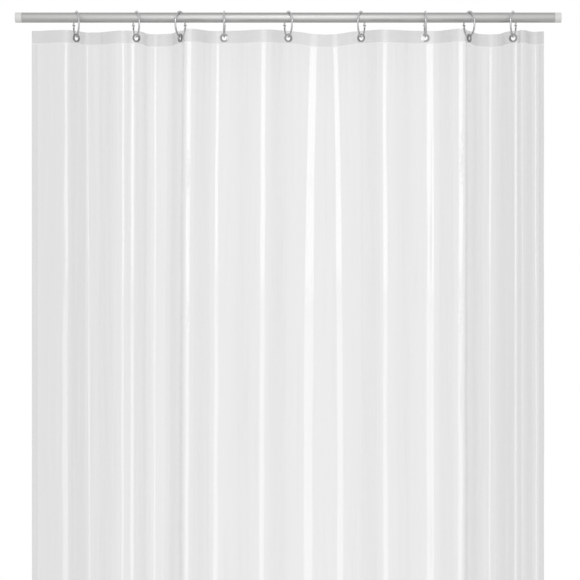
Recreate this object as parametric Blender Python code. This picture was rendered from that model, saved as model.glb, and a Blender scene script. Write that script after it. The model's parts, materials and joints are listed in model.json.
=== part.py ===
# Shower curtain: a clear film liner hung from a round metal rod by nine hinged wire rings.
# Metres, +Z up. The origin is the middle of the rod's left end face, +X runs along the rod,
# +Y points away from the side that is looked at.

import math

import bpy
import numpy as np
from mathutils import Matrix

MM = 0.001

# rod
ROD_LENGTH = 1070 * MM
ROD_RADIUS = 10 * MM
ROD_WALL = 0.8 * MM
PLUG_SKIRT = 13 * MM
PLUG_SPIGOT = 25 * MM
ROD_SIDES = 40

# liner
FILM_HEIGHT = 2000 * MM
FILM_THICKNESS = 0.3 * MM
BAND_HEIGHT = 24 * MM
SIDE_HEM_WIDTH = 12 * MM
BOTTOM_HEM_HEIGHT = 25 * MM

# grommets
GROMMET_SPACING = 150 * MM
END_MARGIN = 100 * MM
GROMMET_HOLE = 4.75 * MM
GROMMET_RADIUS = 8.5 * MM
GROMMET_BARREL = 0.7 * MM
GROMMET_BELOW_TOP = 13.8 * MM
FLANGE_THICKNESS = 0.9 * MM
WASHER_THICKNESS = 0.5 * MM
LIP_THICKNESS = 0.5 * MM
LIP_OVERHANG = 1.0 * MM
BORE_FLARE = 0.8 * MM
BORE_STEPS = 4
FLANGE_ROUNDING = 0.7 * MM
GROMMET_SIDES = 16

# rings
RING_RADIUS = 25 * MM
WIRE_RADIUS = 1.8 * MM
EYE_RADIUS = 2.3 * MM
PIN_RADIUS = 0.75 * MM
PIN_HEAD_RADIUS = 1.5 * MM
PIN_HEAD_THICKNESS = 0.5 * MM
TONGUE_START = 0.5 * MM
TONGUE_MARGIN = 1.0 * MM
TONGUE_INSET = 0.07 * MM
NUB_RADIUS = 0.6 * MM
NUB_LENGTH = 1.4 * MM
NUB_TAPER = 0.55 * MM
NUB_POINTING = 0.3 * MM
WIRE_SIDES = 8
RING_STEPS = 12
GROMMET_DROP = 2.0 * MM

# space between two pieces that touch
GAP = 0.3 * MM

# How the liner hangs, from left to right. Each ring gives the share of the flat spacing that is
# left between it and the next one, the turn of its plane about the vertical in degrees and the
# film's turn away from the rod's direction there, in degrees.
RINGS = [
    {"share": 0.784, "plane": 17, "film": 45},
    {"share": 0.575, "plane": 17, "film": 42},
    {"share": 0.575, "plane": -20, "film": -58},
    {"share": 0.836, "plane": 0, "film": -8},
    {"share": 0.954, "plane": 17, "film": 33},
    {"share": 0.836, "plane": -17, "film": -33},
    {"share": 0.575, "plane": 0, "film": 8},
    {"share": 0.575, "plane": 20, "film": 58},
    {"share": None, "plane": -17, "film": -42},
]
LEFT_SHARE = 0.873
RIGHT_SHARE = 0.607
FIRST_EDGE = 32.3 * MM

# The folds between one ring and the next: (part of the way along, depth before it is scaled).
# A depth below 0 is a fold towards the front.
LEFT_FOLDS = [(0.0, 1), (0.80, -22)]
FOLDS = [
    [(0.17, 22), (0.83, -16)],
    [(0.36, 38), (0.62, 38)],
    [(0.20, -38), (0.86, 5)],
    [(0.63, -28)],
    [(0.30, 18), (0.50, 12), (0.70, 18)],
    [(0.37, -28)],
    [(0.14, 5), (0.80, -38)],
    [(0.38, 38), (0.64, 38)],
]
RIGHT_FOLDS = [(0.19, -16), (0.71, 12), (1.0, 4)]
STRAIGHT_HALF = 10 * MM
STEPS_PER_BEND = 4
DEEPEST_SCALE = 4.0 * MM
BISECTIONS = 50


def clearScene():
    for thing in list(bpy.data.objects):
        bpy.data.objects.remove(thing, do_unlink=True)


def makeMaterial(name, colour, roughness, metallic=0.0, alpha=1.0):
    material = bpy.data.materials.new(name)
    material.use_nodes = True
    shader = material.node_tree.nodes["Principled BSDF"]
    shader.inputs["Base Color"].default_value = (*colour, 1.0)
    shader.inputs["Roughness"].default_value = roughness
    shader.inputs["Metallic"].default_value = metallic
    shader.inputs["Alpha"].default_value = alpha
    return material


def meshFromLoops(name, loops, closed=False):
    """Bridge a row of loops with the same number of points; a row that isn't closed gets end caps."""
    loops = [np.asarray(loop, float) for loop in loops]
    sides = len(loops[0])
    count = len(loops)
    points = np.concatenate(loops)
    faces = []
    for n in range(count if closed else count - 1):
        here = n * sides
        there = (n + 1) % count * sides
        for k in range(sides):
            after = (k + 1) % sides
            faces.append((here + k, here + after, there + after, there + k))
    if not closed:
        faces.append(tuple(reversed(range(sides))))
        faces.append(tuple(range((count - 1) * sides, count * sides)))
    mesh = bpy.data.meshes.new(name)
    mesh.from_pydata(points.tolist(), [], faces)
    mesh.validate()
    mesh.update()
    turnOutwards(mesh)
    return mesh


def turnOutwards(mesh):
    """Flip every face when the closed mesh has its faces pointing in."""
    mesh.calc_loop_triangles()
    volume = 0.0
    for triangle in mesh.loop_triangles:
        a, b, c = (mesh.vertices[n].co for n in triangle.vertices)
        volume += a.dot(b.cross(c))
    if volume < 0:
        mesh.flip_normals()


def turned(name, profile, sides):
    """A closed (radius, height) outline turned about Z; an outline from axis to axis gives a solid."""
    turns = np.arange(sides) * 2 * math.pi / sides
    solid = profile[0][0] == 0
    inner = profile[1:-1] if solid else profile
    loops = []
    for radius, height in inner:
        loop = np.column_stack(
            [radius * np.cos(turns), radius * np.sin(turns), np.full(sides, height)]
        )
        loops.append(loop)
    return meshFromLoops(name, loops, closed=not solid)


def addPiece(name, mesh, material, matrix=Matrix(), parent=None, smooth=True):
    thing = bpy.data.objects.new(name, mesh)
    bpy.context.scene.collection.objects.link(thing)
    if smooth:
        mesh.shade_smooth()
        mesh.set_sharp_from_angle(angle=math.radians(40))
    if not mesh.materials:
        mesh.materials.append(material)
    thing.parent = parent
    thing.matrix_local = matrix
    return thing


def addEmpty(name, matrix, parent=None):
    empty = bpy.data.objects.new(name, None)
    bpy.context.scene.collection.objects.link(empty)
    empty.parent = parent
    empty.matrix_local = matrix
    return empty


def combined(base, steps):
    """The mesh that is left after each (operation, tool mesh) step of booleans on the base mesh."""
    thing = bpy.data.objects.new(base.name, base)
    bpy.context.scene.collection.objects.link(thing)
    tools = []
    for operation, mesh in steps:
        tool = bpy.data.objects.new(mesh.name, mesh)
        bpy.context.scene.collection.objects.link(tool)
        cut = thing.modifiers.new(mesh.name, "BOOLEAN")
        cut.operation = operation
        cut.solver = "EXACT"
        cut.object = tool
        tools.append(tool)
    bpy.context.view_layer.update()
    depsgraph = bpy.context.evaluated_depsgraph_get()
    result = bpy.data.meshes.new_from_object(thing.evaluated_get(depsgraph))
    result.name = base.name
    result.materials.clear()
    for tool in [*tools, thing]:
        bpy.data.objects.remove(tool, do_unlink=True)
    return result


def alongX(x):
    """Z of a turned mesh becomes the rod's direction."""
    return Matrix.Translation((x, 0, 0)) @ Matrix.Rotation(math.pi / 2, 4, "Y")


# ---- plan of the hanging liner ----


def ringPlaces():
    """X of each ring along the rod, and of the liner's two side edges. A liner that hangs too wide
    for its rod is drawn closer, into deeper folds."""
    steps = [END_MARGIN * LEFT_SHARE]
    steps += [GROMMET_SPACING * ring["share"] for ring in RINGS[:-1]]
    steps += [END_MARGIN * RIGHT_SHARE]
    closer = min(1.0, (ROD_LENGTH - 2 * FIRST_EDGE) / sum(steps))
    stops = FIRST_EDGE + np.cumsum(steps) * closer
    return stops[:-1].tolist(), FIRST_EDGE, float(stops[-1])


def straightEnds(x, angle):
    """The two ends of the flat stretch that carries a grommet."""
    along = STRAIGHT_HALF * np.array([math.cos(angle), math.sin(angle)])
    return np.array([x, 0.0]) - along, np.array([x, 0.0]) + along


def bend(start, startAngle, end, endAngle):
    """A cubic Hermite arc between two points, without its first point."""
    reach = np.linalg.norm(end - start)
    a = reach * np.array([math.cos(startAngle), math.sin(startAngle)])
    b = reach * np.array([math.cos(endAngle), math.sin(endAngle)])
    t = np.linspace(0, 1, STEPS_PER_BEND + 1)[1:, None]
    return (
        (2 * t**3 - 3 * t**2 + 1) * start
        + (t**3 - 2 * t**2 + t) * a
        + (3 * t**2 - 2 * t**3) * end
        + (t**3 - t**2) * b
    )


def foldedRun(start, startAngle, end, endAngle, folds, depth):
    """The run from one flat stretch to the next through its folds, scaled to a depth."""
    knots = [(start, startAngle)]
    for x, y in folds:
        knots.append((np.array([x, y * depth]), 0.0))
    if end is not None:
        knots.append((end, endAngle))
    points = [start[None, :]]
    for (a, angleA), (b, angleB) in zip(knots, knots[1:]):
        points.append(bend(a, angleA, b, angleB))
    return np.concatenate(points)


def lengthOf(points):
    return float(np.linalg.norm(np.diff(points, axis=0), axis=1).sum())


def runOfLength(length, build):
    """Bisect the folds' depth until the run has the film's flat length."""
    low, high = 0.0, DEEPEST_SCALE
    for _ in range(BISECTIONS):
        middle = (low + high) / 2
        if lengthOf(build(middle)) < length:
            low = middle
        else:
            high = middle
    return build((low + high) / 2)


def liningPlan():
    """Points of the liner's middle line seen from above, and the flat distance to each ring."""
    places, left, right = ringPlaces()
    angles = [math.radians(ring["film"]) for ring in RINGS]
    flats = [straightEnds(x, angle) for x, angle in zip(places, angles)]

    def leftRun(depth):
        folds = [(left + (places[0] - left) * part, y) for part, y in LEFT_FOLDS]
        first = np.array([folds[0][0], folds[0][1] * depth])
        return foldedRun(first, 0.0, flats[0][0], angles[0], folds[1:], depth)

    def rightRun(depth):
        folds = [(places[-1] + (right - places[-1]) * part, y) for part, y in RIGHT_FOLDS]
        return foldedRun(flats[-1][1], angles[-1], None, None, folds, depth)

    runs = [runOfLength(END_MARGIN - STRAIGHT_HALF, leftRun)]
    for n, folds in enumerate(FOLDS):
        span = places[n + 1] - places[n]

        def middleRun(depth, n=n, folds=folds, span=span):
            spread = [(places[n] + span * part, y) for part, y in folds]
            return foldedRun(flats[n][1], angles[n], flats[n + 1][0], angles[n + 1], spread, depth)

        runs.append(runOfLength(GROMMET_SPACING - 2 * STRAIGHT_HALF, middleRun))
    runs.append(runOfLength(END_MARGIN - STRAIGHT_HALF, rightRun))
    return np.concatenate(runs), places, angles


def cutAt(points, start, end):
    """The stretch of a line of points between two distances along it."""
    steps = np.linalg.norm(np.diff(points, axis=0), axis=1)
    along = np.concatenate([[0], np.cumsum(steps)])
    inside = (along > start + GAP) & (along < end - GAP)
    ends = [[np.interp(s, along, points[:, k]) for k in (0, 1)] for s in (start, end)]
    return np.vstack([ends[0], points[inside], ends[1]])


def offsetLine(points, distance):
    """The line moved sideways, away from the front, with mitred corners."""
    steps = np.diff(points, axis=0)
    steps /= np.linalg.norm(steps, axis=1)[:, None]
    normals = np.column_stack([-steps[:, 1], steps[:, 0]])
    before = np.vstack([normals[:1], normals])
    after = np.vstack([normals, normals[-1:]])
    mitre = before + after
    mitre /= (mitre * before).sum(axis=1)[:, None]
    return points + mitre * distance


def sheet(name, points, layer, bottom, top):
    """A thin wall that stands on the plan, between two depths behind the liner's middle."""
    front = offsetLine(points, layer[0])
    back = offsetLine(points, layer[1])
    loops = []
    for a, b in zip(front, back):
        loops.append([(*a, bottom), (*b, bottom), (*b, top), (*a, top)])
    return meshFromLoops(name, loops)


# ---- depths of the layers at a grommet, from front to back; 0 is the middle of the stack ----

STACK = FLANGE_THICKNESS + 2 * FILM_THICKNESS + WASHER_THICKNESS + LIP_THICKNESS + 4 * GAP
FLANGE_BACK = -STACK / 2 + FLANGE_THICKNESS
FILM_LAYER = (FLANGE_BACK + GAP, FLANGE_BACK + GAP + FILM_THICKNESS)
HEM_LAYER = (FILM_LAYER[1] + GAP, FILM_LAYER[1] + GAP + FILM_THICKNESS)
WASHER_LAYER = (HEM_LAYER[1] + GAP, HEM_LAYER[1] + GAP + WASHER_THICKNESS)
BARREL_RADIUS = GROMMET_HOLE + GROMMET_BARREL

# ---- heights ----

RING_MIDDLE = -(RING_RADIUS - WIRE_RADIUS - ROD_RADIUS - GAP)
GROMMET_MIDDLE = RING_MIDDLE - RING_RADIUS - GROMMET_DROP
FILM_TOP = GROMMET_MIDDLE + GROMMET_BELOW_TOP
FILM_BOTTOM = FILM_TOP - FILM_HEIGHT


def grommetPlace(x, angle):
    """The grommet's axis points to the back of the liner."""
    facing = Matrix.Rotation(angle, 4, "Z") @ Matrix.Rotation(-math.pi / 2, 4, "X")
    return Matrix.Translation((x, 0, GROMMET_MIDDLE)) @ facing


def withGrommetHoles(mesh, places, angles):
    """The sheet with a clearance hole where each grommet's barrel goes through it."""
    cutters = []
    for n, (x, angle) in enumerate(zip(places, angles)):
        cutter = turned(
            f"hole_{n + 1}",
            [
                (0, -STACK),
                (BARREL_RADIUS + GAP, -STACK),
                (BARREL_RADIUS + GAP, STACK),
                (0, STACK),
            ],
            GROMMET_SIDES,
        )
        cutter.transform(grommetPlace(x, angle))
        cutters.append(("DIFFERENCE", cutter))
    return combined(mesh, cutters)


def buildLiner(material, hemMaterial):
    points, places, angles = liningPlan()
    hang = addEmpty("liner_hang", Matrix())
    total = lengthOf(points)
    film = sheet("liner_film", points, FILM_LAYER, FILM_BOTTOM, FILM_TOP)
    film = withGrommetHoles(film, places, angles)
    addPiece("liner_film", film, material, parent=hang, smooth=False)
    bandBottom = FILM_TOP - BAND_HEIGHT
    band = sheet("top_band", points, HEM_LAYER, bandBottom, FILM_TOP)
    band = withGrommetHoles(band, places, angles)
    addPiece("top_band", band, hemMaterial, parent=hang, smooth=False)
    sides = {
        "left_side_hem": (0, SIDE_HEM_WIDTH),
        "right_side_hem": (total - SIDE_HEM_WIDTH, total),
    }
    for name, (start, end) in sides.items():
        hem = sheet(name, cutAt(points, start, end), HEM_LAYER, FILM_BOTTOM, bandBottom - GAP)
        addPiece(name, hem, hemMaterial, parent=hang, smooth=False)
    between = cutAt(points, SIDE_HEM_WIDTH + GAP, total - SIDE_HEM_WIDTH - GAP)
    hem = sheet("bottom_hem", between, HEM_LAYER, FILM_BOTTOM, FILM_BOTTOM + BOTTOM_HEM_HEIGHT)
    addPiece("bottom_hem", hem, hemMaterial, parent=hang, smooth=False)
    return hang, places, angles


def buildRod(metal, plastic):
    outline = [
        (ROD_RADIUS - ROD_WALL, PLUG_SKIRT + GAP),
        (ROD_RADIUS, PLUG_SKIRT + GAP),
        (ROD_RADIUS, ROD_LENGTH - PLUG_SKIRT - GAP),
        (ROD_RADIUS - ROD_WALL, ROD_LENGTH - PLUG_SKIRT - GAP),
    ]
    addPiece("rod_tube", turned("rod_tube", outline, ROD_SIDES), metal, alongX(0))
    spigot = ROD_RADIUS - ROD_WALL - GAP
    plug = turned(
        "end_plug",
        [
            (0, 0),
            (ROD_RADIUS, 0),
            (ROD_RADIUS, PLUG_SKIRT),
            (spigot, PLUG_SKIRT),
            (spigot, PLUG_SKIRT + PLUG_SPIGOT),
            (0, PLUG_SKIRT + PLUG_SPIGOT),
        ],
        ROD_SIDES,
    )
    addPiece("left_end_plug", plug, plastic, alongX(0))
    mirrored = alongX(ROD_LENGTH) @ Matrix.Rotation(math.pi, 4, "X")
    addPiece("right_end_plug", plug, plastic, mirrored)


# ---- one ring in its own frame: X to the back in the ring's plane, Y square to the plane ----


def wireLoop(angle, low, high):
    """The wire's cross-section at an angle round the ring, squeezed between two Y values."""
    turns = (np.arange(WIRE_SIDES) + 0.5) * 2 * math.pi / WIRE_SIDES
    out = WIRE_RADIUS * np.cos(turns)
    side = (low + high) / 2 + (high - low) / 2 * np.sin(turns)
    reach = RING_RADIUS + out
    return np.column_stack([reach * math.cos(angle), side, reach * math.sin(angle)])


def halfRing(name, turn):
    """Half of the wire ring with its hinge eye; turn is 1 for the upper half and -1 for the lower."""
    knuckle = math.asin((EYE_RADIUS + 2 * GAP) / RING_RADIUS)
    tongue = knuckle + TONGUE_MARGIN / RING_RADIUS
    front = math.pi - GAP / 2 / RING_RADIUS
    low, high = (GAP / 2, WIRE_RADIUS) if turn > 0 else (-WIRE_RADIUS, -GAP / 2)
    squeezed = (low + TONGUE_INSET, high - TONGUE_INSET)
    start = TONGUE_START / RING_RADIUS
    loops = [wireLoop(start * turn, *squeezed), wireLoop(knuckle * turn, *squeezed)]
    for step in range(RING_STEPS + 1):
        angle = tongue + (front - tongue) * step / RING_STEPS
        loops.append(wireLoop(angle * turn, -WIRE_RADIUS, WIRE_RADIUS))
    wire = meshFromLoops(name, loops)
    eye = hingeDisc("eye", EYE_RADIUS, low, high)
    bore = hingeDisc("bore", PIN_RADIUS + GAP, -2 * WIRE_RADIUS, 2 * WIRE_RADIUS)
    steps = [("UNION", eye), ("DIFFERENCE", bore)]
    if turn > 0:
        socket = snapPeg("socket", NUB_RADIUS + GAP, NUB_LENGTH + GAP, WIRE_RADIUS)
        steps.append(("DIFFERENCE", socket))
    else:
        steps.append(("UNION", snapPeg("nub", NUB_RADIUS, NUB_LENGTH, WIRE_RADIUS / 2)))
    return combined(wire, steps)


def hingeDisc(name, radius, low, high):
    disc = turned(name, [(0, low), (radius, low), (radius, high), (0, high)], 2 * WIRE_SIDES)
    disc.transform(Matrix.Rotation(-math.pi / 2, 4, "X"))
    disc.transform(Matrix.Translation((RING_RADIUS, 0, 0)))
    return disc


def snapPeg(name, radius, length, sunk):
    """An upright peg on the ring's front joint, from below the joint to its length above."""
    tip = radius - NUB_POINTING
    peg = turned(
        name,
        [(0, -sunk), (radius, -sunk), (radius, length - NUB_TAPER), (tip, length), (0, length)],
        WIRE_SIDES,
    )
    peg.transform(Matrix.Translation((-RING_RADIUS, 0, 0)))
    return peg


def hingePin(name):
    inner = WIRE_RADIUS + GAP
    outer = inner + PIN_HEAD_THICKNESS
    pin = turned(
        name,
        [
            (0, -outer),
            (PIN_HEAD_RADIUS, -outer),
            (PIN_HEAD_RADIUS, -inner),
            (PIN_RADIUS, -inner),
            (PIN_RADIUS, inner),
            (PIN_HEAD_RADIUS, inner),
            (PIN_HEAD_RADIUS, outer),
            (0, outer),
        ],
        WIRE_SIDES,
    )
    pin.transform(Matrix.Rotation(-math.pi / 2, 4, "X"))
    return pin


def eyelet(name):
    """Front flange, barrel and rolled lip in one piece, with a bore that flares to both faces."""
    half = STACK / 2
    lip = BARREL_RADIUS + LIP_OVERHANG
    profile = []
    for part in np.linspace(-1, 1, BORE_STEPS + 1):
        profile.append((GROMMET_HOLE + BORE_FLARE * part**2, half * part))
    profile += [
        (lip, half),
        (lip, half - LIP_THICKNESS),
        (BARREL_RADIUS, half - LIP_THICKNESS),
        (BARREL_RADIUS, FLANGE_BACK),
        (GROMMET_RADIUS, FLANGE_BACK),
        (GROMMET_RADIUS, FLANGE_BACK - FLANGE_THICKNESS / 2),
        (GROMMET_RADIUS - FLANGE_ROUNDING, -half),
    ]
    return turned(name, profile, GROMMET_SIDES)


def washer(name):
    inner = BARREL_RADIUS + GAP
    outer = GROMMET_RADIUS - GAP
    front, back = WASHER_LAYER
    profile = [(inner, front), (outer, front), (outer, back), (inner, back)]
    return turned(name, profile, GROMMET_SIDES)


def buildRings(hang, places, angles, wireMetal, grommetMetal):
    hook = halfRing("ring_hook", -1)
    gate = halfRing("ring_gate", 1)
    gate.transform(Matrix.Translation((-RING_RADIUS, 0, 0)))
    pin = hingePin("ring_pin")
    front = eyelet("grommet")
    back = washer("washer")
    for n, (x, angle, ring) in enumerate(zip(places, angles, RINGS), start=1):
        turn = math.radians(90 + ring["plane"])
        place = Matrix.Translation((x, 0, RING_MIDDLE)) @ Matrix.Rotation(turn, 4, "Z")
        carrier = addEmpty(f"ring_{n}_carrier", place, hang)
        addPiece(f"ring_{n}_hook", hook, wireMetal, parent=carrier)
        hinge = addEmpty(f"ring_{n}_hinge", Matrix.Translation((RING_RADIUS, 0, 0)), carrier)
        addPiece(f"ring_{n}_gate", gate, wireMetal, parent=hinge)
        addPiece(f"ring_{n}_pin", pin, wireMetal, parent=hinge)
        seat = grommetPlace(x, angle)
        addPiece(f"grommet_{n}_eyelet", front, grommetMetal, seat, hang)
        addPiece(f"grommet_{n}_washer", back, grommetMetal, seat, hang)


def build():
    clearScene()
    satinSteel = makeMaterial("satin_steel", (0.62, 0.62, 0.62), 0.32, 1.0)
    chrome = makeMaterial("chrome", (0.70, 0.70, 0.71), 0.08, 1.0)
    nickel = makeMaterial("nickel", (0.60, 0.60, 0.60), 0.2, 1.0)
    whitePlastic = makeMaterial("white_plastic", (0.9, 0.9, 0.9), 0.35)
    clearFilm = makeMaterial("clear_film", (0.95, 0.96, 0.96), 0.08, alpha=0.2)
    hemFilm = makeMaterial("hem_film", (0.93, 0.94, 0.94), 0.12, alpha=0.3)
    buildRod(satinSteel, whitePlastic)
    hang, places, angles = buildLiner(clearFilm, hemFilm)
    buildRings(hang, places, angles, chrome, nickel)


build()
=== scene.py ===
import json
import math

import bpy
import numpy as np
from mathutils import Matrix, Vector


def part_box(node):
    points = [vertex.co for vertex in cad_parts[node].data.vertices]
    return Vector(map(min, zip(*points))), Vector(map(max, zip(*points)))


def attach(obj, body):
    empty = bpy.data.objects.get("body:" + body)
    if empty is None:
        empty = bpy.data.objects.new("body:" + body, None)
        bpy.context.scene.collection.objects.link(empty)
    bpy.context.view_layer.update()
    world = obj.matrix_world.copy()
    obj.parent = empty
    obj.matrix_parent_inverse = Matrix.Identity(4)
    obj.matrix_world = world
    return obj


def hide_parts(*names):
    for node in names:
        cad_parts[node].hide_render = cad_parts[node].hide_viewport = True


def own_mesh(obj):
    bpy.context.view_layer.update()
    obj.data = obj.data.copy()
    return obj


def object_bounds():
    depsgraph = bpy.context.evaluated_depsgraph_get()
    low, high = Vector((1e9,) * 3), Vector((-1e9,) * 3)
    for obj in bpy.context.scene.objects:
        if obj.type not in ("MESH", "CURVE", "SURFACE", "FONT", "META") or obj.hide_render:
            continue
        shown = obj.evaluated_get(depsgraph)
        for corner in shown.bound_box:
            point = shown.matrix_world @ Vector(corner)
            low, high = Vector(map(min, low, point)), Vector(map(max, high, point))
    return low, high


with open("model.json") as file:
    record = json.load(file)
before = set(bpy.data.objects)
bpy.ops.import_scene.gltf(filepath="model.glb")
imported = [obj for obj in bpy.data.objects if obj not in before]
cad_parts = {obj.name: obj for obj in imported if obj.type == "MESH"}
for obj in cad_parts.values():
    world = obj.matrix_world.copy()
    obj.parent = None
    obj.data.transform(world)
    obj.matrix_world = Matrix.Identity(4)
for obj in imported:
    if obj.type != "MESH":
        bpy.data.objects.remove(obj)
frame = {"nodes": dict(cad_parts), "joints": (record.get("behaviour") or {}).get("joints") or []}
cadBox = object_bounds()
mm = 0.001
joints = {joint["name"]: joint for joint in frame["joints"]}
ringNumbers = range(1, 10)
print("frame loaded:", len(frame["nodes"]), "nodes")


def linearColour(code):
    # an sRGB hex code turned to linear light
    parts = [int(code[n:n + 2], 16) / 255 for n in (1, 3, 5)]
    return tuple(c / 12.92 if c <= 0.04045 else ((c + 0.055) / 1.055) ** 2.4 for c in parts) + (1.0,)


def addNode(tree, kind, settings=None, links=None):
    # a node with its settings (sockets by name or number, else attributes) and what feeds its sockets
    node = tree.nodes.new(kind)
    for key, value in (settings or {}).items():
        if isinstance(key, int) or key in node.inputs:
            node.inputs[key].default_value = value
        else:
            setattr(node, key, value)
    for key, source in (links or {}).items():
        tree.links.new(source, node.inputs[key])
    return node


def newMaterial(name):
    material = bpy.data.materials.new(name)
    material.use_nodes = True
    material.node_tree.nodes.clear()
    return material, material.node_tree


def gridFaces(rows, columns, closeRows=False, closeColumns=False):
    # quads between neighbours of a grid whose points are numbered row by row
    down = np.arange(rows if closeRows else rows - 1)[:, None]
    across = np.arange(columns if closeColumns else columns - 1)[None, :]
    below = (down + 1) % rows
    beside = (across + 1) % columns
    shape = (len(down), across.shape[1])
    corners = [
        down * columns + across, down * columns + beside,
        below * columns + beside, below * columns + across,
    ]
    return np.stack([np.broadcast_to(c, shape) for c in corners], axis=-1).reshape(-1, 4)


def newMesh(name, points, faces, uv=None):
    # faces may be one array of quads, or a list with other polygons in it
    mesh = bpy.data.meshes.new(name)
    points = np.asarray(points, float).reshape(-1, 3)
    mesh.from_pydata(points.tolist(), [], [list(map(int, face)) for face in faces])
    if uv is not None:
        loops = np.empty(len(mesh.loops), dtype=np.int32)
        mesh.loops.foreach_get("vertex_index", loops)
        layer = mesh.uv_layers.new(name="flatSheet")
        layer.data.foreach_set("uv", np.asarray(uv, np.float32).reshape(-1, 2)[loops].ravel())
    mesh.shade_smooth()
    mesh.update()
    return mesh


def newPiece(name, mesh, material, body, nodes):
    piece = bpy.data.objects.new(name, mesh)
    bpy.context.scene.collection.objects.link(piece)
    mesh.materials.append(material)
    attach(piece, body)
    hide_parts(*nodes)
    return piece


def facingOut(mesh):
    # turns a closed mesh the right way when its volume comes out negative
    mesh.calc_loop_triangles()
    corners = np.empty(len(mesh.loop_triangles) * 3, dtype=np.int32)
    mesh.loop_triangles.foreach_get("vertices", corners)
    places = np.empty(len(mesh.vertices) * 3, dtype=np.float32)
    mesh.vertices.foreach_get("co", places)
    a, b, c = places.reshape(-1, 3)[corners.reshape(-1, 3)].astype(float).transpose(1, 0, 2)
    if np.einsum("ij,ij->i", a, np.cross(b, c)).sum() < 0:
        mesh.flip_normals()
    return mesh


def turnedMesh(name, profile, sides, origin, axis):
    # a closed outline of (radius, height) turned round a level axis: origin + axis h + r (cos t, sin t)
    axis = np.array(Vector(axis).normalized())
    side = np.array(Vector(np.cross((0, 0, 1), axis)).normalized())
    over = np.cross(axis, side)
    radius, height = np.array(profile, float).T
    turn = np.linspace(0, 2 * math.pi, sides, endpoint=False)
    points = (
        np.array(origin, float)
        + height[:, None, None] * axis
        + radius[:, None, None] * (np.cos(turn)[:, None] * side + np.sin(turn)[:, None] * over)
    )
    return facingOut(newMesh(name, points, gridFaces(len(radius), sides, True, True)))


def roundedProfile(corners, radius, steps=4):
    # a closed outline of (x, y) corners, each rounded by the curve (1 - t)^2 a + 2 t (1 - t) corner + t^2 b
    # between the points a and b that lie the radius away along its two sides, or less on a short side
    corners = np.array(corners, float)
    t = np.linspace(0, 1, steps)[:, None]
    made = []
    for before, here, after in zip(np.roll(corners, 1, 0), corners, np.roll(corners, -1, 0)):
        back, onward = np.linalg.norm(before - here), np.linalg.norm(after - here)
        cut = min(radius, 0.45 * back, 0.45 * onward)
        a, b = here + (before - here) / back * cut, here + (after - here) / onward * cut
        made.append((1 - t) ** 2 * a + 2 * t * (1 - t) * here + t**2 * b)
    return np.concatenate(made)


def smoothed(values, width):
    # a moving average with bell weights; the line is carried on past its ends, so that they stay in place
    reach = int(width * 3)
    weights = np.exp(-0.5 * (np.arange(-reach, reach + 1) / width) ** 2)
    before, after = 2 * values[0] - values[reach:0:-1], 2 * values[-1] - values[-2:-reach - 2:-1]
    padded = np.concatenate([before, values, after])
    return np.convolve(padded, weights / weights.sum(), mode="valid")


# Calendered clear vinyl film: a single sheet lets most light straight through with a faint grey haze, its
# gloss grows towards grazing angles, and soft ripples a few centimetres long break the lines of gloss.
# Its patterns lie on the flat sheet, in metres from the left edge and from the top one.
filmFinish = {
    "clear": "#EEEEEE",       # what one layer lets through when it is looked at square on
    "streakAndShadeTone": "#E2E2E2",       # and, as painted shade, darker towards both edges of the roll; it is also darker towards the top, and where the upright streaks fall
    "edgeOn": "#E2E2E2",      # and when it is looked at along the surface, where its path is longer
    "haze": "#F2F2F2",
    "hazeShare": 0.10,
    "glossRoughness": 0.11,
    "header": (24 * mm, 4 * mm, 0.32),  # the pressed header's height, its soft edge, and how rough it is
    "faceReflection": 0.075,  # both faces of vinyl, IOR 1.53, looked at square on
    "rollMiddle": 0.7,
    "shadedRollEdges": (0.36, 0.64),  # painted shade: the film darkens over this distance from the middle of the roll, standing in for the steeper folds there
    "darkerTop": (-0.16, 0.02, 0.4),  # and it is darker towards the top over this height, up to this share
    "rippleLength": 38 * mm,
    "rippleDepth": 0.10 * mm,
    "rippleStretch": (1, 0.16, 1),
    "grainLength": 7 * mm,
    "grainDepth": 0.010 * mm,
    "streakWidth": 9 * mm,    # upright streaks left by the calender rolls
    "streakStretch": (1, 0.03, 1),
    "streakShare": 0.9,
}


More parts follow.
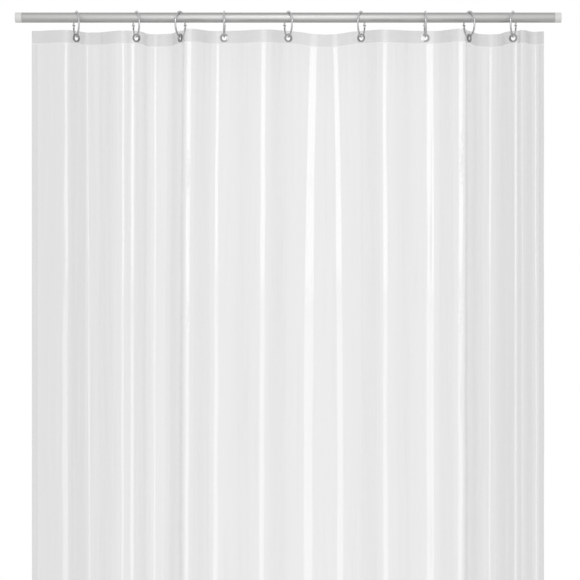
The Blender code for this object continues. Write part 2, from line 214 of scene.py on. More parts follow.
def filmMaterial(name, finish):
    material, tree = newMaterial(name)
    sheet = addNode(tree, "ShaderNodeUVMap", {"uv_map": "flatSheet"})
    stretched = addNode(tree, "ShaderNodeMapping", {
        "Scale": finish["rippleStretch"],
    }, {"Vector": sheet.outputs["UV"]})
    ripple = addNode(tree, "ShaderNodeTexNoise", {
        "Scale": 1 / finish["rippleLength"], "Detail": 3.0, "Roughness": 0.55, "Distortion": 0.4,
    }, {"Vector": stretched.outputs["Vector"]})
    grain = addNode(tree, "ShaderNodeTexNoise", {
        "Scale": 1 / finish["grainLength"], "Detail": 2.0,
    }, {"Vector": sheet.outputs["UV"]})
    waves = addNode(tree, "ShaderNodeBump", {
        "Strength": 1.0, "Distance": finish["rippleDepth"],
    }, {"Height": ripple.outputs["Fac"]})
    bump = addNode(tree, "ShaderNodeBump", {
        "Strength": 1.0, "Distance": finish["grainDepth"],
    }, {"Height": grain.outputs["Fac"], "Normal": waves.outputs["Normal"]})
    facing = addNode(tree, "ShaderNodeLayerWeight", {"Blend": 0.5}, {"Normal": bump.outputs["Normal"]})
    plain = addNode(tree, "ShaderNodeLayerWeight", {"Blend": 0.5})
    # Schlick's rule for both faces: r + (1 - r) (1 - cos)^5
    steep = addNode(tree, "ShaderNodeMath", {"operation": "POWER", 1: 5.0}, {0: facing.outputs["Facing"]})
    share = addNode(tree, "ShaderNodeMath", {
        "operation": "MULTIPLY_ADD", "use_clamp": True,
        1: 1 - finish["faceReflection"], 2: finish["faceReflection"],
    }, {0: steep.outputs["Value"]})
    longPath = addNode(tree, "ShaderNodeMath", {"operation": "POWER", 1: 2.0}, {0: plain.outputs["Facing"]})
    across = addNode(tree, "ShaderNodeSeparateXYZ", {}, {0: sheet.outputs["UV"]})
    off = addNode(tree, "ShaderNodeMath", {
        "operation": "SUBTRACT", 1: finish["rollMiddle"],
    }, {0: across.outputs["X"]})
    edge = addNode(tree, "ShaderNodeMath", {"operation": "ABSOLUTE"}, {0: off.outputs["Value"]})
    # painted shade: the film's tone darkens towards both edges of the roll
    low, high = finish["shadedRollEdges"]
    paintedEdgeShade = addNode(tree, "ShaderNodeMapRange", {
        "interpolation_type": "SMOOTHSTEP", "From Min": low, "From Max": high,
    }, {"Value": edge.outputs["Value"]})
    # the film's tone darkens towards the top
    low, high, most = finish["darkerTop"]
    upper = addNode(tree, "ShaderNodeMapRange", {
        "interpolation_type": "SMOOTHSTEP", "From Min": low, "From Max": high, "To Max": most,
    }, {"Value": across.outputs["Y"]})
    darkerEdgesAndTop = addNode(tree, "ShaderNodeMath", {
        "operation": "MAXIMUM",
    }, {0: paintedEdgeShade.outputs["Result"], 1: upper.outputs["Result"]})
    rolled = addNode(tree, "ShaderNodeMapping", {
        "Scale": finish["streakStretch"],
    }, {"Vector": sheet.outputs["UV"]})
    streaks = addNode(tree, "ShaderNodeTexNoise", {
        "Scale": 1 / finish["streakWidth"], "Detail": 3.0, "Roughness": 0.6,
    }, {"Vector": rolled.outputs["Vector"]})
    uneven = addNode(tree, "ShaderNodeMapRange", {
        "clamp": False, "To Min": -finish["streakShare"] / 2, "To Max": finish["streakShare"] / 2,
    }, {"Value": streaks.outputs["Fac"]})
    # the painted edge shade and the darker top, with the streaks' uneven tone added, mix the clear tone
    # towards the darker one
    streaksAndShadeShare = addNode(tree, "ShaderNodeMath", {
        "operation": "ADD", "use_clamp": True,
    }, {0: darkerEdgesAndTop.outputs["Value"], 1: uneven.outputs["Result"]})
    flat = addNode(tree, "ShaderNodeMix", {
        "data_type": "RGBA", 6: linearColour(finish["clear"]), 7: linearColour(finish["streakAndShadeTone"]),
    }, {0: streaksAndShadeShare.outputs["Value"]})
    tint = addNode(tree, "ShaderNodeMix", {
        "data_type": "RGBA", 7: linearColour(finish["edgeOn"]),
    }, {0: longPath.outputs["Value"], 6: flat.outputs[2]})
    through = addNode(tree, "ShaderNodeBsdfTransparent", {}, {"Color": tint.outputs[2]})
    front = addNode(tree, "ShaderNodeBsdfDiffuse", {
        "Color": linearColour(finish["haze"]), "Roughness": 0.5,
    }, {"Normal": bump.outputs["Normal"]})
    behind = addNode(tree, "ShaderNodeBsdfTranslucent", {
        "Color": linearColour(finish["haze"]),
    }, {"Normal": bump.outputs["Normal"]})
    cloud = addNode(tree, "ShaderNodeMixShader", {"Fac": 0.5}, {1: front.outputs[0], 2: behind.outputs[0]})
    body = addNode(tree, "ShaderNodeMixShader", {
        "Fac": finish["hazeShare"],
    }, {1: through.outputs[0], 2: cloud.outputs[0]})
    height, softEdge, rough = finish["header"]
    pressed = addNode(tree, "ShaderNodeMapRange", {
        "From Min": -height - softEdge, "From Max": -height,
        "To Min": finish["glossRoughness"], "To Max": rough,
    }, {"Value": across.outputs["Y"]})
    gloss = addNode(tree, "ShaderNodeBsdfAnisotropic", {
        "Color": (1, 1, 1, 1),
    }, {"Normal": bump.outputs["Normal"], "Roughness": pressed.outputs["Result"]})
    whole = addNode(tree, "ShaderNodeMixShader", {}, {
        "Fac": share.outputs["Value"], 1: body.outputs[0], 2: gloss.outputs[0],
    })
    addNode(tree, "ShaderNodeOutputMaterial", {}, {"Surface": whole.outputs[0]})
    return material


def metalMaterial(name, colour, roughness, grainSize, grainStretch, grainDepth, roughnessSpread):
    material, tree = newMaterial(name)
    place = addNode(tree, "ShaderNodeTexCoord")
    stretched = addNode(tree, "ShaderNodeMapping", {
        "Scale": grainStretch,
    }, {"Vector": place.outputs["Object"]})
    grain = addNode(tree, "ShaderNodeTexNoise", {
        "Scale": 1 / grainSize, "Detail": 4.0, "Roughness": 0.6,
    }, {"Vector": stretched.outputs["Vector"]})
    spread = addNode(tree, "ShaderNodeMapRange", {
        "To Min": roughness - roughnessSpread, "To Max": roughness + roughnessSpread,
    }, {"Value": grain.outputs["Fac"]})
    bump = addNode(tree, "ShaderNodeBump", {
        "Strength": 1.0, "Distance": grainDepth,
    }, {"Height": grain.outputs["Fac"]})
    shader = addNode(tree, "ShaderNodeBsdfPrincipled", {
        "Base Color": linearColour(colour), "Metallic": 1.0,
    }, {"Roughness": spread.outputs["Result"], "Normal": bump.outputs["Normal"]})
    addNode(tree, "ShaderNodeOutputMaterial", {}, {"Surface": shader.outputs["BSDF"]})
    return material


def plasticMaterial(name, colour, roughness, grainSize, grainDepth):
    material, tree = newMaterial(name)
    place = addNode(tree, "ShaderNodeTexCoord")
    grain = addNode(tree, "ShaderNodeTexNoise", {
        "Scale": 1 / grainSize, "Detail": 2.0,
    }, {"Vector": place.outputs["Object"]})
    bump = addNode(tree, "ShaderNodeBump", {
        "Strength": 1.0, "Distance": grainDepth,
    }, {"Height": grain.outputs["Fac"]})
    shader = addNode(tree, "ShaderNodeBsdfPrincipled", {
        "Base Color": linearColour(colour), "Roughness": roughness, "IOR": 1.49,
    }, {"Normal": bump.outputs["Normal"]})
    addNode(tree, "ShaderNodeOutputMaterial", {}, {"Surface": shader.outputs["BSDF"]})
    return material


clearVinyl = filmMaterial("clearVinylFilm", filmFinish)
# A hem is the same film welded on behind, with no air between, so it only adds its thickness.
weldedVinyl = filmMaterial("weldedVinylHem", {
    **filmFinish, "clear": "#FAFAFA", "streakAndShadeTone": "#FAFAFA", "edgeOn": "#F4F4F4",
    "hazeShare": 0.03, "faceReflection": 0.01,
})
# The header's band is welded on in the same way, but it is thicker and pressed matt, so it looks greyer.
headerVinyl = filmMaterial("weldedVinylHeader", {
    **filmFinish, "clear": "#F3F3F3", "streakAndShadeTone": "#F3F3F3", "edgeOn": "#EAEAEA",
    "hazeShare": 0.08, "faceReflection": 0.02,
})
# Drawn stainless steel tube: a satin skin with fine marks that run along it.
satinSteel = metalMaterial("satinStainlessTube", "#C4C4C3", 0.42, 0.9 * mm, (0.02, 1, 1), 0.004 * mm, 0.05)
# Chrome-plated steel wire: nearly a mirror, with very faint waves from drawing the wire.
chromeWire = metalMaterial("chromePlatedWire", "#D2D2D4", 0.06, 3 * mm, (1, 1, 1), 0.004 * mm, 0.03)
# Nickel-plated brass eyelet: pressed, slightly softer gloss than the wire.
nickelBrass = metalMaterial("nickelPlatedEyelet", "#B4B4B3", 0.2, 1.5 * mm, (1, 1, 1), 0.004 * mm, 0.05)
# Moulded polypropylene plug: pale grey, with the fine spark-eroded texture of its mould.
whitePlug = plasticMaterial("paleMouldedPlug", "#DCDCDA", 0.42, 0.6 * mm, 0.01 * mm)
print("materials made")


rodSettings = {
    "radius": 10 * mm,
    "wall": 0.8 * mm,
    "tubeEdge": 0.25 * mm,   # how far the tube's edges are rounded, and the plugs'
    "plugEdge": 0.8 * mm,
    "spigot": 25 * mm,       # how far a plug goes into the tube
    "gap": 0.3 * mm,
    "sides": 96,
}
nearAxis = 0.0001 * mm       # where the outline of a solid turned piece ends, just off its axis


def makeRod():
    low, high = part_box("rod_tube")
    outer, wall = rodSettings["radius"], rodSettings["wall"]
    outline = [(outer - wall, low[0]), (outer, low[0]), (outer, high[0]), (outer - wall, high[0])]
    outline = roundedProfile(outline, rodSettings["tubeEdge"])
    tube = turnedMesh("rodTube", outline, rodSettings["sides"], (0, 0, 0), (1, 0, 0))
    newPiece("rodTube", tube, satinSteel, "rod", ["rod_tube"])
    skirt, spigot = low[0] - rodSettings["gap"], outer - wall - rodSettings["gap"]
    depth = skirt + rodSettings["spigot"]
    outline = roundedProfile([
        (nearAxis, 0), (outer, 0), (outer, skirt), (spigot, skirt), (spigot, depth), (nearAxis, depth),
    ], rodSettings["plugEdge"])
    ends = (("leftPlug", "left_end_plug", 0.0, 1), ("rightPlug", "right_end_plug", cadBox[1][0], -1))
    for name, node, face, way in ends:
        plug = turnedMesh(name, outline, rodSettings["sides"], (face, 0, 0), (way, 0, 0))
        newPiece(name, plug, whitePlug, "rod", [node])


makeRod()
print("rod made")


ringSettings = {
    "wireRadius": 1.8 * mm,
    "eyeRadius": 2.3 * mm,
    "pinRadius": 0.75 * mm,
    "pinHeadRadius": 1.5 * mm,
    "pinHead": 0.5 * mm,
    "pegRadius": 0.6 * mm,
    "pegLength": 1.4 * mm,
    "gap": 0.3 * mm,
    "sides": 20,
    "steps": 60,
}


def ringFrame(number):
    # the ring's middle, its radius and its two directions in plan, read from its hinges
    hinge = joints[f"ring_{number}_gate_open"]
    place = np.array(hinge["pos_m"])
    middle = np.array([joints[f"grommet_{number}_turn"]["pos_m"][0], 0.0, place[2]])
    back = place - middle
    radius = np.linalg.norm(back)
    back = back / radius
    return middle, radius, back, np.cross([0, 0, 1], back)


def wirePoints(angles, low, high, radius):
    # a wire bent round a circle: at angle a it lies (radius + w cos t) along (cos a, sin a), and to the
    # side it reaches from low to high as sin t goes from -1 to 1
    t = (np.arange(ringSettings["sides"]) + 0.5) * 2 * math.pi / ringSettings["sides"]
    reach = radius + ringSettings["wireRadius"] * np.cos(t)[None, :]
    aside = (low + high)[:, None] / 2 + (high - low)[:, None] / 2 * np.sin(t)[None, :]
    return np.stack([reach * np.cos(angles)[:, None], aside, reach * np.sin(angles)[:, None]], axis=-1)


def cappedTube(loops):
    # a tube of loops with a flat face over each end
    rows, sides = loops.shape[:2]
    faces = gridFaces(rows, sides, False, True).tolist()
    faces += [list(range(sides))[::-1], list(range((rows - 1) * sides, rows * sides))]
    return loops.reshape(-1, 3), faces


def joinedMesh(name, parts):
    # several closed shapes in one mesh, each given as (points, faces)
    points, faces, count = [], [], 0
    for shape, polygons in parts:
        points.append(shape)
        faces += [[corner + count for corner in polygon] for polygon in polygons]
        count += len(shape)
    return newMesh(name, np.concatenate(points), faces)


def discParts(radius, bore, low, high, middle):
    # a flat ring square to the ring's plane, with softened corners, round the hinge axis
    outline = roundedProfile([(bore, low), (radius, low), (radius, high), (bore, high)], 0.25 * mm, 3)
    t = np.arange(ringSettings["sides"] * 2) * math.pi / ringSettings["sides"]
    r, h = outline[:, :1], outline[:, 1:]
    points = np.stack([middle + r * np.cos(t), h + 0 * t, -r * np.sin(t)], axis=-1)
    return points.reshape(-1, 3), gridFaces(len(outline), len(t), True, True).tolist()


def halfRingParts(turn, radius):
    # turn is 1 for the upper half, which opens, and -1 for the lower half, which carries the grommet
    wire, eye, gap = (ringSettings[key] for key in ("wireRadius", "eyeRadius", "gap"))
    knuckle = math.asin((eye + 2 * gap) / radius)
    front = math.pi - gap / 2 / radius
    # the wire is halved in thickness up to the knuckle's edge and has its full thickness a little past it
    thinned = [0.6 * knuckle, knuckle]
    angles = np.concatenate([thinned, np.linspace(1.35 * knuckle, front, ringSettings["steps"])])
    ends = (gap / 2, wire) if turn > 0 else (-wire, -gap / 2)
    low = np.full(len(angles), -wire)
    high = np.full(len(angles), wire)
    low[:2], high[:2] = ends
    loops = wirePoints(angles * turn, low, high, radius)
    parts = [cappedTube(loops), discParts(eye, ringSettings["pinRadius"] + gap, *ends, radius)]
    if turn < 0:
        # shares of the peg's radius and length, from inside the wire to the peg's rounded tip
        peg = np.array([(0.999, -0.5), (1, 0.5), (0.9, 0.8), (0.6, 0.97), (0.2, 1)])
        t = np.arange(12) * math.pi / 6
        around = peg[:, :1] * ringSettings["pegRadius"]
        pegLoops = np.stack([
            around * np.cos(t) - radius, around * np.sin(t), peg[:, 1:] * ringSettings["pegLength"] + 0 * t,
        ], axis=-1)
        parts.append(cappedTube(pegLoops))
    return parts


def pinParts(radius):
    inner = ringSettings["wireRadius"] + ringSettings["gap"]
    outer = inner + ringSettings["pinHead"]
    head, shank = ringSettings["pinHeadRadius"], ringSettings["pinRadius"]
    outline = roundedProfile([
        (nearAxis, -outer), (head, -outer), (head, -inner), (shank, -inner),
        (shank, inner), (head, inner), (head, outer), (nearAxis, outer),
    ], 0.2 * mm)
    t = np.arange(24) * math.pi / 12
    r, h = outline[:, :1], outline[:, 1:]
    points = np.stack([radius + r * np.cos(t), h + 0 * t, -r * np.sin(t)], axis=-1)
    return points.reshape(-1, 3), gridFaces(len(outline), len(t), True, True).tolist()


def placedParts(parts, middle, back, aside):
    # from the ring's own frame to the object's
    turn = np.stack([back, aside, [0, 0, 1]])
    return [(np.asarray(points).reshape(-1, 3) @ turn + middle, faces) for points, faces in parts]


def makeRings():
    for number in ringNumbers:
        middle, radius, back, aside = ringFrame(number)
        halves = (("Hook", "hook", -1, f"ring_{number}"), ("Gate", "gate", 1, f"gate_{number}"))
        for label, node, turn, body in halves:
            parts = placedParts(halfRingParts(turn, radius), middle, back, aside)
            mesh = joinedMesh(f"ring{number}{label}", parts)
            mesh.set_sharp_from_angle(angle=math.radians(50))
            newPiece(mesh.name, mesh, chromeWire, body, [f"ring_{number}_{node}"])
        pin = joinedMesh(f"ring{number}Pin", placedParts([pinParts(radius)], middle, back, aside))
        newPiece(pin.name, pin, chromeWire, f"ring_{number}", [f"ring_{number}_pin"])


makeRings()
print("rings made")


# The film is worked out as a sheet of (along, down): along is the flat distance from the left edge and
# down the distance below the top edge. The CAD sheet's plan gives how it folds at the top.
filmSettings = {
    "columns": 380,
    "rows": 255,
    "planSteps": 2801,              # points that the folds' plan is worked out at
    "foldRounding": 4.5 * mm,       # how softly the film bends at the top
    "lowerRounding": 13 * mm,       # and how softly lower down
    "lowerDeepening": 1.12,         # the folds are this much deeper lower down
    "lowerReach": 0.55,             # metres down by which most of that change is made
    "creases": 42,                  # soft upright creases that come and go, each value between two limits
    "creaseDepth": (0.15 * mm, 0.6 * mm),
    "creaseWidth": (3.0 * mm, 6.5 * mm),
    "creaseMiddle": (0.1, 1.9),     # metres down
    "creaseReach": (0.25, 0.9),
    "creaseDrift": (-0.012, 0.012),  # sideways for each metre down
    "layerGap": 0.6 * mm,           # a hem's layer lies this far behind the film
    "bandHeight": 24 * mm,
    "sideHem": 12 * mm,
    "bottomHem": 25 * mm,
    "hemSteps": 8,
    "bandSteps": 14,
    "centreSag": (4.5 * mm, 0.09, 0.22, 0.9),  # depth, reach to either side, share elsewhere, fading height
    "middleFolds": (14 * mm, 30 * mm, 0.35),   # they slant this far apart, over this width and height
    "leftDrift": (10 * mm, 0.40, 0.13, 0.8),   # how far, the x of its middle, its reach, and its height
    "flatAtRings": (15 * mm, 22 * mm),         # creases fade this near to a grommet, across and down
    # the film within the first radius of a grommet moves out past the second, and what was within the
    # third one goes
    "holes": (8.0 * mm, 5.8 * mm, 3.6 * mm),
    # where columns crowd together: their x in mm, within what reach and how many times more; the same at
    # each ring; and for rows (down, reach, times more)
    "closerAcross": ((345, 586, 628, 873), 12 * mm, 2.0),
    "closerAtRings": (11 * mm, 1.6),
    "closerDown": [(0, 35 * mm, 3.5), (275 * mm, 65 * mm, 2.6), (560 * mm, 48 * mm, 2.6)],
}

# Creased strips of the film: (x, half width, slope in degrees), in mm. A strip with little slope faces the
# front and shines from top to bottom; the others keep the film between two such strips turned away.
strips = [
    (104.5, 5.0, 2), (160, 3.5, 2), (213, 3.0, 2), (231.5, 5.5, 3),
    (263, 9, 17), (277, 7, -17), (342.5, 7.0, 2), (398, 6.0, 1), (488, 7.0, 1),
    (564, 9, 12), (576, 5, 12), (586.5, 4, 1.5), (596, 5.5, 12), (607, 7, 12), (618, 5, 12),
    (627, 4, 0), (637, 6, -16), (650, 9, -18), (667, 10, -19),
    (722.5, 7.0, -1), (811, 7.5, -2), (872, 7.0, -2),
    (926, 8, 15), (944, 9, -15), (980, 4.0, -3),
]

# Broad swells: (height, length down, length along, phase, width), in metres, each a slanting wave times one
# across the film.
swells = [(0.6 * mm, 0.61, 0.9, 0.0, 0.17), (0.3 * mm, 0.27, -0.5, 1.3, 0.11)]

# Places where the film is crumpled: (x, down, half width, half height, depth, facet length), in mm.
crumples = [
    (345, 285, 8, 34, 2.6, 13),
    (345, 560, 8, 24, 2.3, 12),
    (874, 250, 8, 34, 2.5, 13),
    (872, 565, 8, 28, 2.3, 12),
    (586, 292, 4, 13, 1.4, 10),
    (628, 292, 4, 13, 1.4, 10),
    (586, 510, 4, 11, 1.2, 10),
    (190, 330, 24, 34, 0.5, 13),
    (395, 120, 18, 50, 0.5, 18),
    (868, 905, 10, 40, 1.0, 16),
    (340, 1010, 8, 40, 1.0, 16),
    (250, 700, 40, 60, 0.3, 18),
    (73, 14, 9, 12, 0.9, 9),
    (1010, 14, 9, 12, 0.9, 9),
]


def cadPlan():
    # the middle line of the CAD sheet seen from above, from its top corners in order of x, front and back
    # in pairs, and its top and bottom
    mesh = frame["nodes"]["liner_film"].data
    places = np.empty(len(mesh.vertices) * 3, dtype=np.float32)
    mesh.vertices.foreach_get("co", places)
    places = places.reshape(-1, 3).astype(float)
    top = places[places[:, 2] > places[:, 2].max() - 0.05 * mm]
    corners = np.unique(np.round(top[:, :2], 6), axis=0)
    corners = corners[np.argsort(corners[:, 0])]
    line = corners[: len(corners) // 2 * 2].reshape(-1, 2, 2).mean(axis=1)
    return line, places[:, 2].max(), places[:, 2].min()


class FilmShape:
    # says where a point (along, down) of the film, or of a hem behind it, is

    def __init__(self):
        line, self.top, self.bottom = cadPlan()
        steps = np.linalg.norm(np.diff(line, axis=0), axis=1)
        along = np.concatenate([[0], np.cumsum(steps)])
        self.length = along[-1]
        self.fine = np.linspace(0, self.length, filmSettings["planSteps"])
        spacing = self.fine[1]
        raw = np.column_stack([np.interp(self.fine, along, line[:, k]) for k in (0, 1)])
        self.rings = np.array([joints[f"grommet_{n}_turn"]["pos_m"][0] for n in ringNumbers])
        self.upper = self.rounded(raw, filmSettings["foldRounding"] / spacing)
        self.lower = self.rounded(raw, filmSettings["lowerRounding"] / spacing)
        deeper = self.lower[:, 1] * filmSettings["lowerDeepening"]
        self.lower[:, 1] = deeper + self.slowBend(self.lower[:, 0])
        places = np.interp(np.array(strips)[:, 0] * mm, self.upper[:, 0], self.fine)
        # a strip within 5 degrees of the front is kept smooth
        self.shining = [
            (place, half * mm) for place, (_, half, slope) in zip(places, strips) if abs(slope) < 5
        ]
        self.upper = self.withStrips(self.upper, places)
        self.lower = self.withStrips(self.lower, places)
        self.ringDown = self.top - joints["grommet_1_turn"]["pos_m"][2]
        self.ringAlong = np.interp(self.rings, self.upper[:, 0], self.fine)
        self.creases = self.chooseCreases()

    def rounded(self, raw, width):
        return np.column_stack([smoothed(raw[:, 0], width), smoothed(raw[:, 1], width)])

    def withStrips(self, line, places):
        # the line drawn again with its slope set in each strip; what that moves it between two rings is
        # taken back outside the strips, and a fiftieth as much inside them
        steps = np.diff(line, axis=0)
        slope = np.arctan2(steps[:, 1], steps[:, 0])
        middle = (self.fine[1:] + self.fine[:-1]) / 2
        free = np.ones(len(slope))
        for place, (_, half, wanted) in zip(places, strips):
            window = np.exp(-(((middle - place) / (half * mm)) ** 4))
            slope += window * (math.radians(wanted) - slope)
            free *= 1 - window
        size = np.linalg.norm(steps, axis=1)
        made = np.column_stack([np.cos(slope) * size, np.sin(slope) * size])
        marks = np.searchsorted(line[:, 0], [-math.inf, *self.rings, math.inf])
        for low, high in zip(marks[:-1], marks[1:] - 1):
            share = free[low:high] + 0.02
            lost = (steps[low:high] - made[low:high]).sum(axis=0)
            made[low:high] += share[:, None] / share.sum() * lost
        return line[0] + np.concatenate([[[0, 0]], np.cumsum(made, axis=0)])

    def slowBend(self, x):
        # the lower film swings a little to the front and back over its width
        return 3 * mm * np.sin(2 * math.pi * x / 0.41 + 0.6) + 2 * mm * np.sin(2 * math.pi * x / 0.23 + 2.1)

    def chooseCreases(self):
        random = np.random.default_rng(11)
        count = filmSettings["creases"]
        place = (np.arange(count) + random.uniform(0.1, 0.9, count)) / count * self.length
        depth = random.uniform(*filmSettings["creaseDepth"], count) * random.choice([-1, 1], count)
        width = random.uniform(*filmSettings["creaseWidth"], count)
        middle = random.uniform(*filmSettings["creaseMiddle"], count)
        reach = random.uniform(*filmSettings["creaseReach"], count)
        drift = random.uniform(*filmSettings["creaseDrift"], count)
        return np.column_stack([place, depth, width, middle, reach, drift])

    def plan(self, along, share):
        # the upper plan turns into the lower one by the share of the way down
        points = []
        for k in (0, 1):
            upper = np.interp(along, self.fine, self.upper[:, k])
            lower = np.interp(along, self.fine, self.lower[:, k])
            points.append(upper + (lower - upper) * share)
        return points

    def relief(self, along, down):
        # height of the small creases and crumples over the smooth folds
        height = np.zeros(along.shape)
        for place, depth, width, middle, reach, drift in self.creases:
            off = along - place - drift * down
            fade = np.exp(-(((down - middle) / reach) ** 4))
            height += depth * fade * np.exp(-0.5 * (off / width) ** 2)
        for place, half in self.shining:
            height *= 1 - 0.85 * np.exp(-(((along - place) / (1.7 * half)) ** 4))
        for size, downLength, alongLength, phase, width in swells:
            wave = np.sin(2 * math.pi * (down / downLength + along / alongLength) + phase)
            height += size * wave * np.sin(2 * math.pi * along / width)
        for x, place, wide, high, depth, facet in crumples:
            centre = np.interp(x * mm, self.upper[:, 0], self.fine)
            u, v = (along - centre) / mm, down / mm - place
            shape = np.exp(-0.5 * (u / wide) ** 2 - 0.5 * (v / high) ** 2)
            # two families of slanting facets that meet in sharp ridges: the size of sin of each slanting
            # distance, less its mean
            oneWay = np.abs(np.sin(math.pi * (v + 0.55 * u) / facet))
            otherWay = np.abs(np.sin(math.pi * (0.8 * v - 0.9 * u) / facet + 0.95))
            height += depth * mm * shape * (0.6 * oneWay + 0.4 * otherWay - 0.64)
        across, tall = filmSettings["flatAtRings"]
        for place in self.ringAlong:
            height *= 1 - np.exp(-(((along - place) / across) ** 2) - ((down - self.ringDown) / tall) ** 2)
        return height

    def sag(self, along, down):
        # the film dips between two rings by half a wave, sin^2, most of all at the middle
        depth, reach, elsewhere, fading = filmSettings["centreSag"]
        gaps = np.zeros(along.shape)
        for left, right in zip(self.ringAlong[:-1], self.ringAlong[1:]):
            t = np.clip((along - left) / (right - left), 0, 1)
            span = np.interp((left + right) / 2, self.fine, self.upper[:, 0])
            weight = math.exp(-(((span - self.rings[4:6].mean()) / reach) ** 2)) + elsewhere
            gaps += weight * np.sin(math.pi * t) ** 2
        return depth * gaps * np.exp(-down / fading)

    def spread(self, x, down):
        # the two middle folds slant apart on their way down, and those left of them drift to the left
        size, width, tall = filmSettings["middleFolds"]
        off = (x - self.rings[4:6].mean()) / width
        apart = size * (1 - np.exp(-down / tall)) * off * np.exp(0.5 - 0.5 * off**2)
        size, middle, reach, tall = filmSettings["leftDrift"]
        return apart - size * (1 - np.exp(-down / tall)) * np.exp(-(((x - middle) / reach) ** 2))

    def at(self, along, down, behind):
        # the point of the plan, moved square to it by the relief, and hung down from the top edge
        share = 1 - np.exp(-((down / filmSettings["lowerReach"]) ** 1.5))
        x, y = self.plan(along, share)
        beforeX, beforeY = self.plan(along - 1 * mm, share)
        afterX, afterY = self.plan(along + 1 * mm, share)
        slope = np.stack([afterX - beforeX, afterY - beforeY], axis=-1)
        slope /= np.linalg.norm(slope, axis=-1, keepdims=True)
        out = self.relief(along, down) - behind
        x = x + self.spread(x, down) + slope[..., 1] * out
        y = y - slope[..., 0] * out
        z = self.top - down - self.sag(along, down)
        return np.stack([x, y, np.maximum(z, self.bottom)], axis=-1)


def spreadOut(low, high, count, places):
    # count values from low to high that crowd together near the places: (place, reach, extra density)
    fine = np.linspace(low, high, 6001)
    weight = np.ones(len(fine))
    for place, reach, extra in places:
        weight += extra * np.exp(-(((fine - place) / reach) ** 4))
    total = np.concatenate([[0], np.cumsum((weight[1:] + weight[:-1]) / 2)])
    return np.interp(np.linspace(0, total[-1], count), total, fine)


def openedHoles(shape, along, down):
    # points near each grommet move out to its barrel: r becomes barrel + (flange - barrel) r / flange
    flange, barrel, emptied = filmSettings["holes"]
    inside = np.zeros(along.shape, bool)
    for place in shape.ringAlong:
        u, v = along - place, down - shape.ringDown
        r = np.maximum(np.hypot(u, v), 1e-9)
        hit = r < flange
        pushed = np.where(hit, (barrel + (flange - barrel) * r / flange) / r, 1.0)
        inside |= r < emptied
        along = place + u * pushed
        down = shape.ringDown + v * pushed
    return along, down, inside


def sheetMesh(name, shape, alongs, downs, behind, holes):
    down, along = np.meshgrid(downs, alongs, indexing="ij")
    faces = gridFaces(len(downs), len(alongs))[:, ::-1]
    if holes:
        along, down, inside = openedHoles(shape, along, down)
        faces = faces[~inside.ravel()[faces].all(axis=1)]
    points = shape.at(along, down, behind)
    return newMesh(name, points, faces, np.stack([along, -down], axis=-1))


def makeFilm():
    shape = FilmShape()
    height = shape.top - shape.bottom
    gap, band = filmSettings["layerGap"], filmSettings["bandHeight"]
    side, bottom = filmSettings["sideHem"], filmSettings["bottomHem"]
    places, reach, extra = filmSettings["closerAcross"]
    busy = [np.interp(x * mm, shape.upper[:, 0], shape.fine) for x in places]
    closer = [(place, *filmSettings["closerAtRings"]) for place in shape.ringAlong]
    closer += [(place, reach, extra) for place in busy]
    alongs = spreadOut(0, shape.length, filmSettings["columns"], closer)
    downs = spreadOut(0, height, filmSettings["rows"], filmSettings["closerDown"])
    between, beside = alongs[(alongs > side) & (alongs < shape.length - side)], downs[downs > band]
    steps = filmSettings["hemSteps"]
    left, right = np.linspace(0, side, steps), np.linspace(shape.length - side, shape.length, steps)
    top, foot = np.linspace(0, band, filmSettings["bandSteps"]), np.linspace(height - bottom, height, steps)
    pieces = [
        ("film", "liner_film", clearVinyl, alongs, downs, 0.0, True),
        ("topBand", "top_band", headerVinyl, alongs, top, gap, True),
        ("leftHem", "left_side_hem", weldedVinyl, left, beside, gap, False),
        ("rightHem", "right_side_hem", weldedVinyl, right, beside, gap, False),
        ("bottomHem", "bottom_hem", weldedVinyl, between, foot, gap, False),
    ]
    made = {}
    for name, node, material, across, below, behind, holes in pieces:
        mesh = sheetMesh(name, shape, across, below, behind, holes)
        made[name] = newPiece(name, mesh, material, "liner", [node])
        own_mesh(made[name])
    return shape


filmShape = makeFilm()
print("film made")


grommetSettings = {
    "bore": 4.75 * mm,
    "flare": 0.8 * mm,                 # the bore is this much wider at both ends
    "barrel": 5.45 * mm,
    "lip": 6.45 * mm,                  # the barrel is rolled over the washer to this radius
    "lipThickness": 0.5 * mm,
    "radius": 8.5 * mm,
    "flange": 0.9 * mm,
    "half": 1.85 * mm,                 # half of the eyelet's length
    "washer": (0.55 * mm, 1.05 * mm),  # where the washer starts and ends behind the middle
    "edge": 0.4 * mm,                  # how far the eyelet's edges are rounded, and the washer's
    "washerEdge": 0.15 * mm,
    "gap": 0.3 * mm,
    "sides": 64,
}


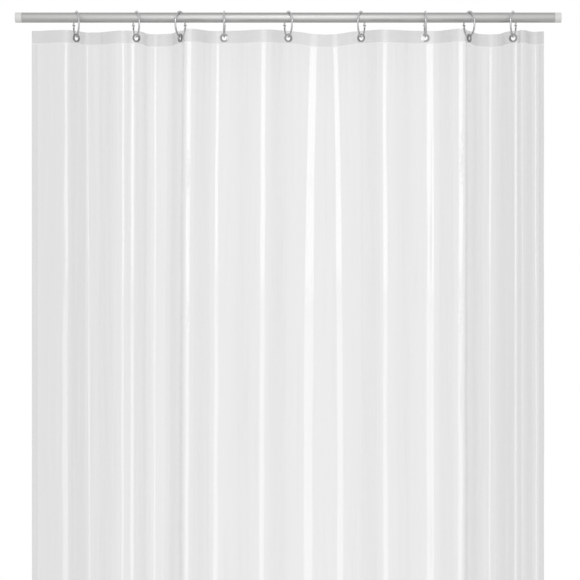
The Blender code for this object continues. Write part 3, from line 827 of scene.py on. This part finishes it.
def makeGrommets():
    values = grommetSettings
    half, flangeBack = values["half"], values["flange"] - values["half"]
    t = np.linspace(-1, 1, 11)
    bore = np.column_stack([values["bore"] + values["flare"] * t**2, half * t])
    outside = roundedProfile([
        (values["lip"], half), (values["lip"], half - values["lipThickness"]),
        (values["barrel"], half - values["lipThickness"]), (values["barrel"], flangeBack),
        (values["radius"], flangeBack), (values["radius"], -half),
    ], values["edge"], 6)
    eyelet = np.concatenate([bore, outside])
    inner, outer = values["barrel"] + values["gap"], values["radius"] - values["gap"]
    front, back = values["washer"]
    corners = [(inner, front), (outer, front), (outer, back), (inner, back)]
    washer = roundedProfile(corners, values["washerEdge"])
    for number in ringNumbers:
        place = joints[f"grommet_{number}_turn"]["pos_m"]
        # the film's direction at the hole, and square to it the grommet's axis
        nearby = filmShape.ringAlong[number - 1] + np.array([-5 * mm, 5 * mm])
        ends = np.column_stack(filmShape.plan(nearby, 0.0))
        axis = np.array([ends[0, 1] - ends[1, 1], ends[1, 0] - ends[0, 0], 0.0])
        for label, node, outline in (("Eyelet", "eyelet", eyelet), ("Washer", "washer", washer)):
            name = f"grommet{number}{label}"
            mesh = turnedMesh(name, outline, values["sides"], place, axis)
            mesh.set_sharp_from_angle(angle=math.radians(50))
            nodes = [f"grommet_{number}_{node}"]
            newPiece(name, mesh, nickelBrass, f"grommet_{number}", nodes)


makeGrommets()
print("grommets made")


stageSettings = {
    "viewWidth": 1.137,           # metres that the view spans at the rod
    "distance": 4.5,
    "middleX": 0.5385,
    "middleZ": -0.534,
    "floorBelow": 0.03,
    "floorReach": 2.6,
    "floor": "#E8E8E6",
    # the room's greys by the height of the direction, 0 straight down and 1 straight up
    "room": [
        (0.0, 0.10), (0.12, 0.38), (0.30, 0.78), (0.50, 0.84),
        (0.80, 1.0), (0.93, 1.2), (0.985, 0.9), (1.0, 0.2),
    ],
    # and from the front, 0, to straight behind the curtain, 1
    "around": [(0.05, 1.0), (0.40, 0.70), (0.75, 0.70), (0.95, 1.0)],
}


def makeFloor():
    low, high = cadBox
    size, level = stageSettings["floorReach"], low[2] - stageSettings["floorBelow"]
    centre = (low + high) / 2
    ways = ((-1, -1), (1, -1), (1, 1), (-1, 1))
    corners = [(centre.x + size * a, centre.y + size * b, level) for a, b in ways]
    floor = bpy.data.objects.new("floor", newMesh("floor", corners, [[0, 1, 2, 3]]))
    bpy.context.scene.collection.objects.link(floor)
    material, tree = newMaterial("paleFloor")
    shader = addNode(tree, "ShaderNodeBsdfPrincipled", {
        "Base Color": linearColour(stageSettings["floor"]), "Roughness": 0.8,
    })
    addNode(tree, "ShaderNodeOutputMaterial", {}, {"Surface": shader.outputs["BSDF"]})
    floor.data.materials.append(material)


def softbox(name, place, target, width, height, power):
    light = bpy.data.lights.new(name, "AREA")
    light.shape = "RECTANGLE"
    light.size, light.size_y = width, height
    light.energy = power
    lamp = bpy.data.objects.new(name, light)
    bpy.context.scene.collection.objects.link(lamp)
    lamp.location = place
    lamp.rotation_euler = (Vector(target) - Vector(place)).to_track_quat("-Z", "Y").to_euler()
    lamp.visible_camera = False


def makeLights():
    # each has a place, a target, a width, a height and a power in watts
    middle, level = stageSettings["middleX"], stageSettings["middleZ"]
    # the main softbox's lower edge is level with the camera, so its gloss ends half way down the film
    softbox("mainSoftbox", (middle, -3.0, level + 0.68), (middle, 0, level + 0.68), 1.1, 1.36, 8.6)
    softbox("lowReflector", (middle, -3.0, level - 0.85), (middle, 0, level - 0.85), 1.1, 1.6, 6.5)
    # a small lamp above the middle gives the wires, the rod and the creases their sharper glints
    softbox("keyLight", (middle, -1.5, 0.8), (middle, 0, 0), 0.16, 0.16, 1.8)


def makeWorld():
    world = bpy.data.worlds.new("studio")
    bpy.context.scene.world = world
    world.use_nodes = True
    tree = world.node_tree
    tree.nodes.clear()
    # white behind the object, and for reflections a grey room: its brightness by the height of the
    # direction, with a dark ceiling and floor, times its brightness from the front round to the back
    place = addNode(tree, "ShaderNodeTexCoord")
    parts = addNode(tree, "ShaderNodeSeparateXYZ", {}, {0: place.outputs["Generated"]})
    greys = {}
    for way, table in (("Z", "room"), ("Y", "around")):
        mapped = addNode(tree, "ShaderNodeMapRange", {
            "From Min": -1.0, "From Max": 1.0,
        }, {"Value": parts.outputs[way]})
        ramp = addNode(tree, "ShaderNodeValToRGB", {}, {"Fac": mapped.outputs["Result"]})
        stops = ramp.color_ramp.elements
        for n, (level, grey) in enumerate(stageSettings[table]):
            stop = stops[n] if n < 2 else stops.new(level)
            stop.position = level
            stop.color = (grey, grey, grey, 1)
        greys[table] = ramp.outputs["Color"]
    room = addNode(tree, "ShaderNodeBackground", {}, {"Color": greys["room"], "Strength": greys["around"]})
    white = addNode(tree, "ShaderNodeBackground", {"Color": (1, 1, 1, 1), "Strength": 1.0})
    path = addNode(tree, "ShaderNodeLightPath")
    both = addNode(tree, "ShaderNodeMixShader", {}, {
        "Fac": path.outputs["Is Camera Ray"], 1: room.outputs[0], 2: white.outputs[0],
    })
    addNode(tree, "ShaderNodeOutputWorld", {}, {"Surface": both.outputs[0]})


def makeCamera():
    data = bpy.data.cameras.new("camera")
    data.sensor_width = 36
    data.lens = data.sensor_width * stageSettings["distance"] / stageSettings["viewWidth"]
    camera = bpy.data.objects.new("camera", data)
    bpy.context.scene.collection.objects.link(camera)
    camera.location = (stageSettings["middleX"], -stageSettings["distance"], stageSettings["middleZ"])
    camera.rotation_euler = (math.radians(90), 0, 0)
    bpy.context.scene.camera = camera


makeFloor()
makeLights()
makeWorld()
makeCamera()
bpy.context.scene.view_settings.view_transform = "Standard"
bpy.context.scene.cycles.transparent_max_bounces = 32
print("stage made")
